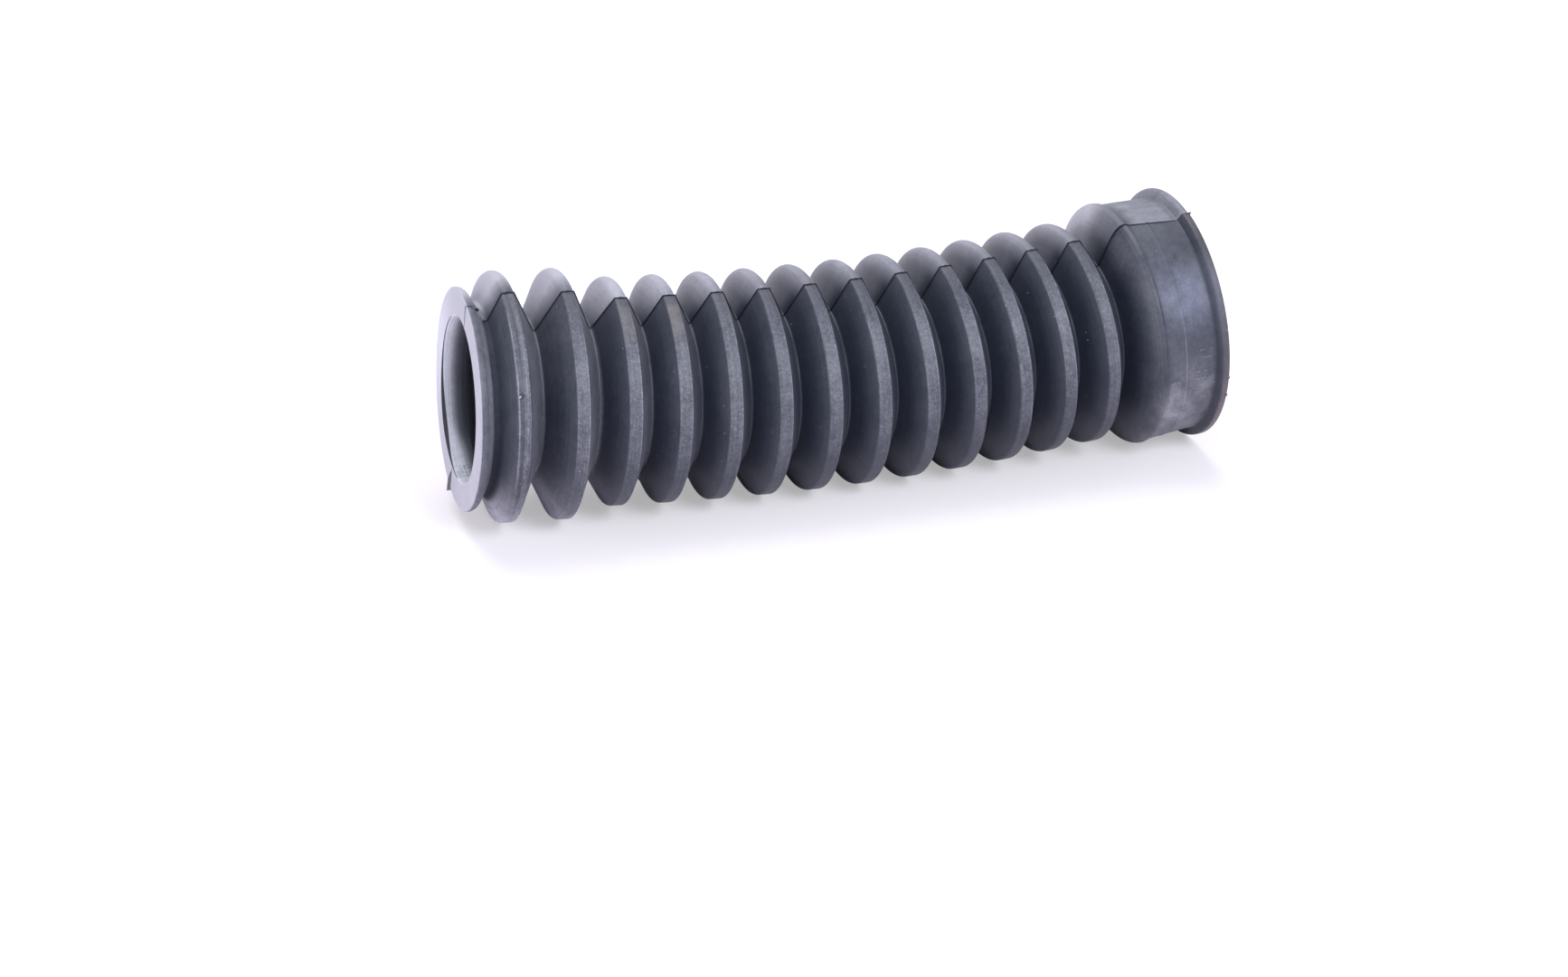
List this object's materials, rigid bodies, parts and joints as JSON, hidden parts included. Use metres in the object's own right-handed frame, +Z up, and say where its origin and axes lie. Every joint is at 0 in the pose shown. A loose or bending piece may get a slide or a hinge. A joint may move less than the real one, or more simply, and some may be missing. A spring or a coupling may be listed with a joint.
{
  "type": "bellows boot",
  "caption": "Black rubber bellows boot with a lipped small mouth and a banded collar at the large mouth, for covering a sliding shaft or joint.",
  "frame": {"origin": "centre of the small mouth, on its flat front face", "axes": "+X from the middle of the small mouth to the middle of the large mouth, +Z up with the boot lying on its side, +Y to its far side; the boot's own axis sags and leans a few millimetres between them, and its later folds are turned about 2 degrees"},
  "size_m": [0.1926, 0.0639, 0.0638],
  "materials": {
    "boot_rubber": "satin, with a light bloom"
  },
  "bodies": {
    "root": {"bellows_boot": "boot_rubber"}
  },
  "joints": []
}
